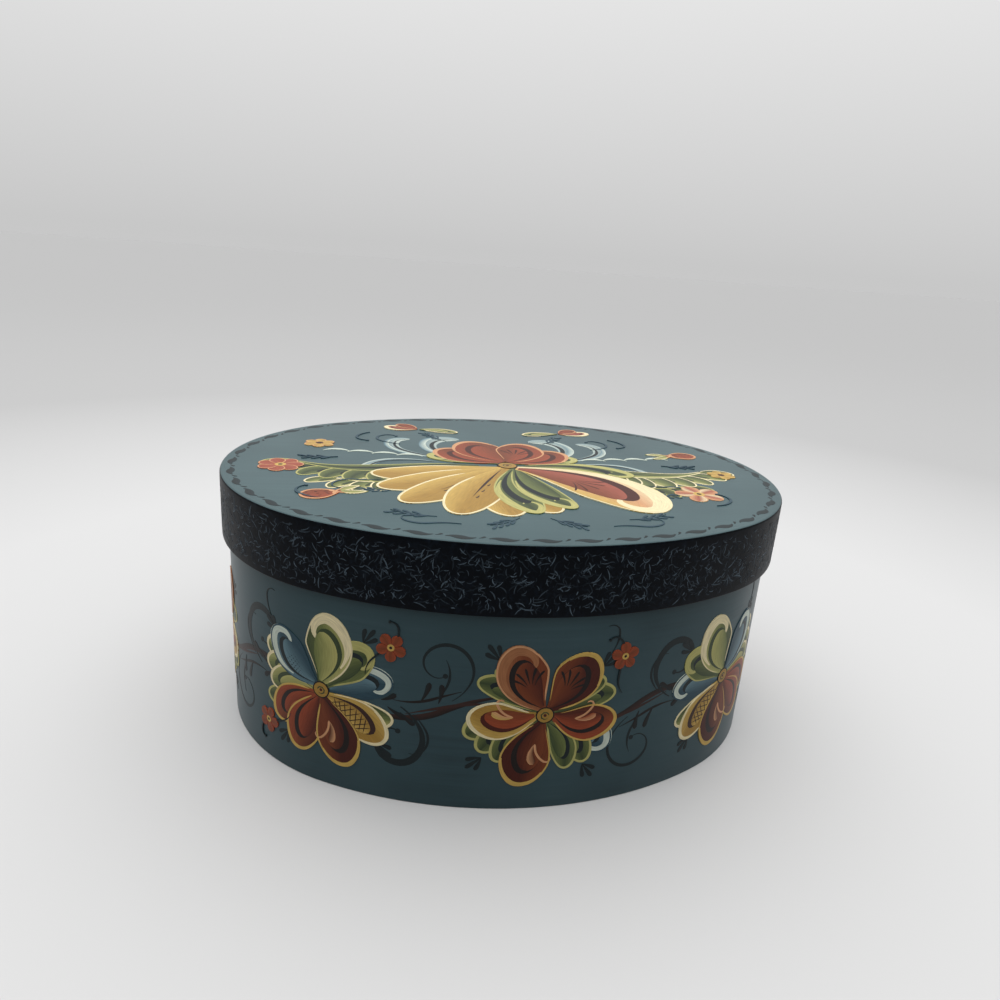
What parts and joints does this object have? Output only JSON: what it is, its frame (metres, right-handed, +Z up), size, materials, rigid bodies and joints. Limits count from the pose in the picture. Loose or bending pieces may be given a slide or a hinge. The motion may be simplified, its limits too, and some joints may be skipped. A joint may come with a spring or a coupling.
{
  "type": "oval bentwood box with lift-off lid",
  "caption": "Oval bentwood box with lapped, tacked side band, pegged bottom board and a deep cap lid that slides down over the rim; painted with scrolls and flowers.",
  "frame": {"origin": "centre of the underside, on the surface the box stands on", "axes": "+X along the oval, +Z up out of the lid, +Y to the back, where both bands are lapped"},
  "size_m": [0.3, 0.2334, 0.1339],
  "materials": {
    "painted_side": "satin blue-grey paint",
    "painted_lid_band": "satin near-black blue paint",
    "painted_lid_top": "satin blue-grey paint",
    "bare_board": "planed softwood",
    "peg_wood": "split hardwood",
    "tack_metal": "iron, painted over outside"
  },
  "bodies": {
    "box": {"side_band": "painted_side", "bottom_board": "bare_board", "bottom_pegs": "peg_wood", "side_lap_tacks": "tack_metal"},
    "lid": {"lid_band": "painted_lid_band", "lid_board": "painted_lid_top", "lid_pegs": "peg_wood", "lid_lap_tacks": "tack_metal"}
  },
  "joints": [
    {"name": "lid_lift", "type": "slide", "parent": "box", "child": "lid", "axis": [0, 0, 1], "range_m": [0, 0.06]}
  ]
}
